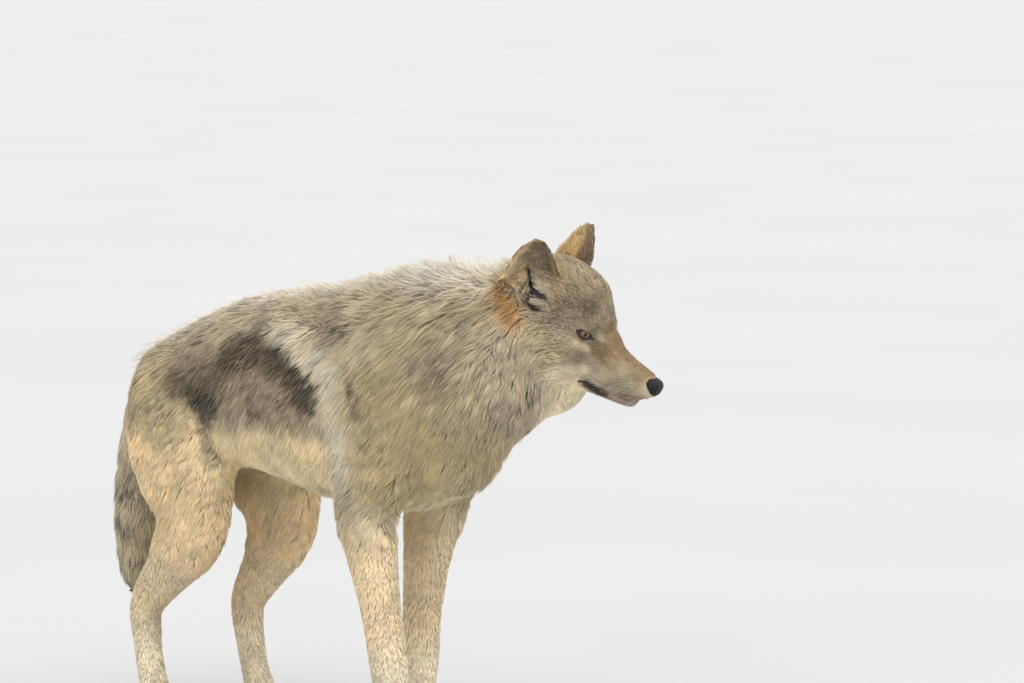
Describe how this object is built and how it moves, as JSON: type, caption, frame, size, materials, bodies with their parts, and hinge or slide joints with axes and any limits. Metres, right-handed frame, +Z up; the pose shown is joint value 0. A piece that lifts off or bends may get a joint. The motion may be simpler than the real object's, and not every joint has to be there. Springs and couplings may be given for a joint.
{
  "type": "grey wolf",
  "caption": "Life-size still model of a standing grey wolf in winter coat, head turned slightly to its left and lowered, tail hanging, mouth closed.",
  "frame": {"origin": "middle of the footprint of the whole wolf, on the floor under its soles", "axes": "+Z up, -Y the way the wolf walks, +X its left side; it stands along Y with its head turned 24 degrees to its left"},
  "size_m": [0.3094, 1.2082, 0.88],
  "materials": {
    "coat": "dense winter fur, cream under dark tips",
    "pale_coat": "short pale cream fur",
    "ear_coat": "short tan fur with a dark rim",
    "nose_leather": "moist black leather",
    "eye": "clear amber glass eye with a black pupil",
    "claw": "dark horn"
  },
  "bodies": {
    "root": {"dewclaw_left": "claw", "dewclaw_right": "claw", "ear_left": "ear_coat", "ear_right": "ear_coat", "eye_left": "eye", "eye_right": "eye", "fore_pastern_left": "pale_coat", "fore_pastern_right": "pale_coat", "forearm_left": "pale_coat", "forearm_right": "pale_coat", "foreclaw_left_1": "claw", "foreclaw_left_2": "claw", "foreclaw_left_3": "claw", "foreclaw_left_4": "claw", "foreclaw_right_1": "claw", "foreclaw_right_2": "claw", "foreclaw_right_3": "claw", "foreclaw_right_4": "claw", "forepaw_left": "pale_coat", "forepaw_right": "pale_coat", "head": "coat", "hind_pastern_left": "pale_coat", "hind_pastern_right": "pale_coat", "hindclaw_left_1": "claw", "hindclaw_left_2": "claw", "hindclaw_left_3": "claw", "hindclaw_left_4": "claw", "hindclaw_right_1": "claw", "hindclaw_right_2": "claw", "hindclaw_right_3": "claw", "hindclaw_right_4": "claw", "hindpaw_left": "pale_coat", "hindpaw_right": "pale_coat", "lower_jaw": "pale_coat", "neck": "coat", "nose_pad": "nose_leather", "shank_left": "pale_coat", "shank_right": "pale_coat", "tail": "coat", "thigh_left": "coat", "thigh_right": "coat", "trunk": "coat"}
  },
  "joints": []
}
